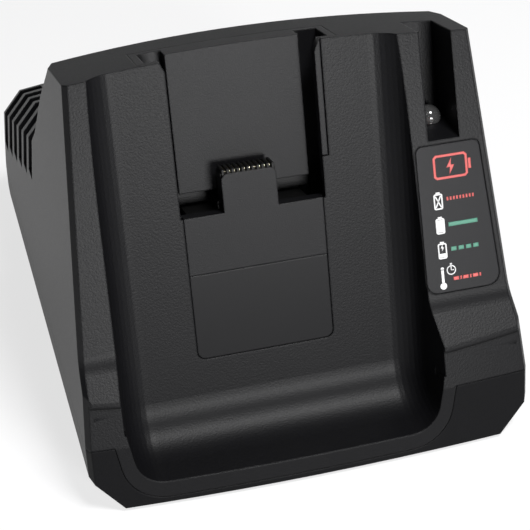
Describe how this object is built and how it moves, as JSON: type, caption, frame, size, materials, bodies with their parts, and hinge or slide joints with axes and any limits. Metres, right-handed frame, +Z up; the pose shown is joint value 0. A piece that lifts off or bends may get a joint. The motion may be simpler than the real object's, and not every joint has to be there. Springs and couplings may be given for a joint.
{
  "type": "power tool battery charger",
  "caption": "Bench charger with a sloped battery bay and rail channel between two towers, a louvred rear body, a cooling fan, contacts and an indicator lens.",
  "frame": {"origin": "middle of the outline on the surface that the feet stand on", "axes": "+Z up, the battery bay faces -Y, the cord bush faces +Y"},
  "size_m": [0.16, 0.204, 0.1386],
  "materials": {
    "housing_plastic": "fine moulded texture",
    "base_plastic": "fine moulded texture",
    "insert_plastic": "satin",
    "contact_plastic": "satin",
    "contact_metal": "tin-plated",
    "label_film": "smooth film",
    "legend_film": "satin film",
    "lens_plastic": "clear, frosted inside",
    "led_resin": "clear red",
    "circuit_board": "solder mask",
    "ferrite": "dull",
    "winding": "taped copper winding",
    "capacitor_sleeve": "sleeved",
    "choke_wire": "enamelled wire",
    "sink_metal": "as extruded",
    "package_resin": "moulded",
    "fuse_glass": "glazed",
    "fan_plastic": "moulded",
    "screw_metal": "zinc-plated",
    "black_screw_metal": "black oxide",
    "bush_rubber": "soft",
    "foot_rubber": "soft"
  },
  "bodies": {
    "charger": {"upper_housing": "housing_plastic", "base_shell": "base_plastic", "rail_carrier": "insert_plastic", "seat_plate": "insert_plastic", "blank_label": "label_film", "contact_block": "contact_plastic", "contact_blades": "contact_metal", "legend_panel": "legend_film", "led_lens": "lens_plastic", "status_led": "led_resin", "led_board": "circuit_board", "main_board": "circuit_board", "transformer_core": "ferrite", "transformer_winding": "winding", "filter_capacitors": "capacitor_sleeve", "line_choke": "choke_wire", "heat_sink": "sink_metal", "power_transistors": "package_resin", "mains_fuse": "fuse_glass", "cord_bush": "bush_rubber", "fan_frame": "fan_plastic", "fan_screws": "screw_metal", "board_screws": "screw_metal", "led_board_screws": "screw_metal", "insert_screws": "screw_metal", "housing_screws": "black_screw_metal", "rubber_feet": "foot_rubber"},
    "fan": {"fan_rotor": "fan_plastic"}
  },
  "joints": [
    {"name": "fan_spin", "type": "hinge", "parent": "charger", "child": "fan", "pos_m": [-0.0092, -0.0145, 0.045], "axis": [0, 1, 0], "continuous": true}
  ]
}
